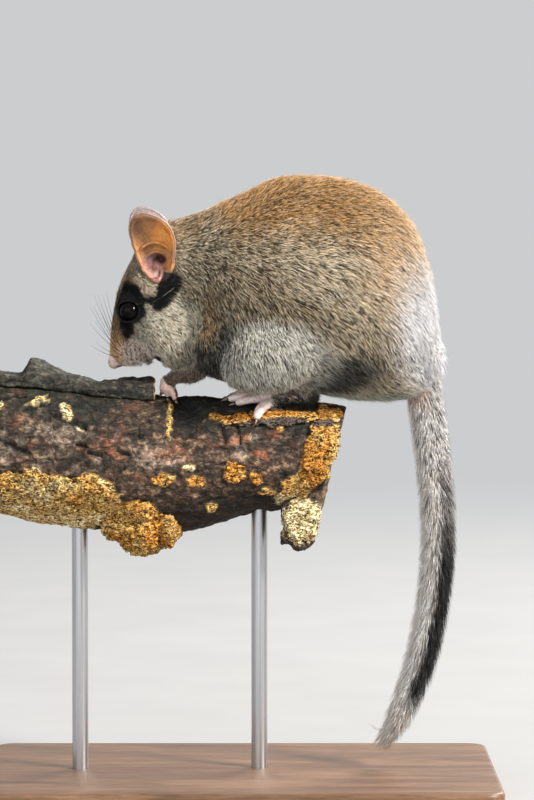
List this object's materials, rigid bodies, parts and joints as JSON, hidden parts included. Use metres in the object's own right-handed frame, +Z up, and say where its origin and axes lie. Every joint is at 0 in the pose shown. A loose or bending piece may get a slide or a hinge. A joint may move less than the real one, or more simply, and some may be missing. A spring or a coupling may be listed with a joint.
{
  "type": "garden dormouse on a perch",
  "caption": "Life-size garden dormouse crouching on a cut, crusted branch, its tufted tail hanging down, on a flat base with two rods.",
  "frame": {"origin": "middle of the underside of the stand's base", "axes": "+Z up; the animal faces -X and lies along X; its left side is towards -Y"},
  "size_m": [0.16, 0.1, 0.1964],
  "materials": {
    "fur_brown": "short dense tawny fur with dark tips",
    "fur_pale": "short dense pale grey-cream fur",
    "ear_skin": "thin bare skin, orange-brown, pink inside",
    "paw_skin": "bare pale pink skin",
    "eye_black": "wet glossy black",
    "claw_horn": "translucent brown horn",
    "tail_fur": "short fur that becomes a flat brush, black and white",
    "bark": "rough dark red-brown bark",
    "crust": "granular ochre crust fungus",
    "stand_wood": "satin oiled wood",
    "stand_steel": "satin"
  },
  "bodies": {
    "root": {"head": "fur_brown", "neck": "fur_brown", "torso": "fur_brown", "ear_left": "ear_skin", "ear_right": "ear_skin", "eye_left": "eye_black", "eye_right": "eye_black", "foreleg_left": "fur_brown", "foreleg_right": "fur_brown", "forefoot_left": "paw_skin", "forefoot_right": "paw_skin", "hindleg_left": "fur_pale", "hindleg_right": "fur_pale", "hindfoot_left": "paw_skin", "hindfoot_right": "paw_skin", "tail_root": "tail_fur", "tail_middle": "tail_fur", "tail_brush": "tail_fur", "claw_fore_left_1": "claw_horn", "claw_fore_left_2": "claw_horn", "claw_fore_left_3": "claw_horn", "claw_fore_left_4": "claw_horn", "claw_hind_left_1": "claw_horn", "claw_hind_left_2": "claw_horn", "claw_hind_left_3": "claw_horn", "claw_hind_left_4": "claw_horn", "claw_hind_left_5": "claw_horn", "claw_fore_right_1": "claw_horn", "claw_fore_right_2": "claw_horn", "claw_fore_right_3": "claw_horn", "claw_fore_right_4": "claw_horn", "claw_hind_right_1": "claw_horn", "claw_hind_right_2": "claw_horn", "claw_hind_right_3": "claw_horn", "claw_hind_right_4": "claw_horn", "claw_hind_right_5": "claw_horn", "perch_branch": "bark", "perch_bark": "bark", "perch_fungus": "crust", "perch_fungus_pale": "crust", "perch_crust_band": "crust", "perch_crust_end": "crust", "perch_crust_spot": "crust", "perch_crust_strip": "crust", "stand_base": "stand_wood", "stand_rod_front": "stand_steel", "stand_rod_rear": "stand_steel"}
  },
  "joints": []
}
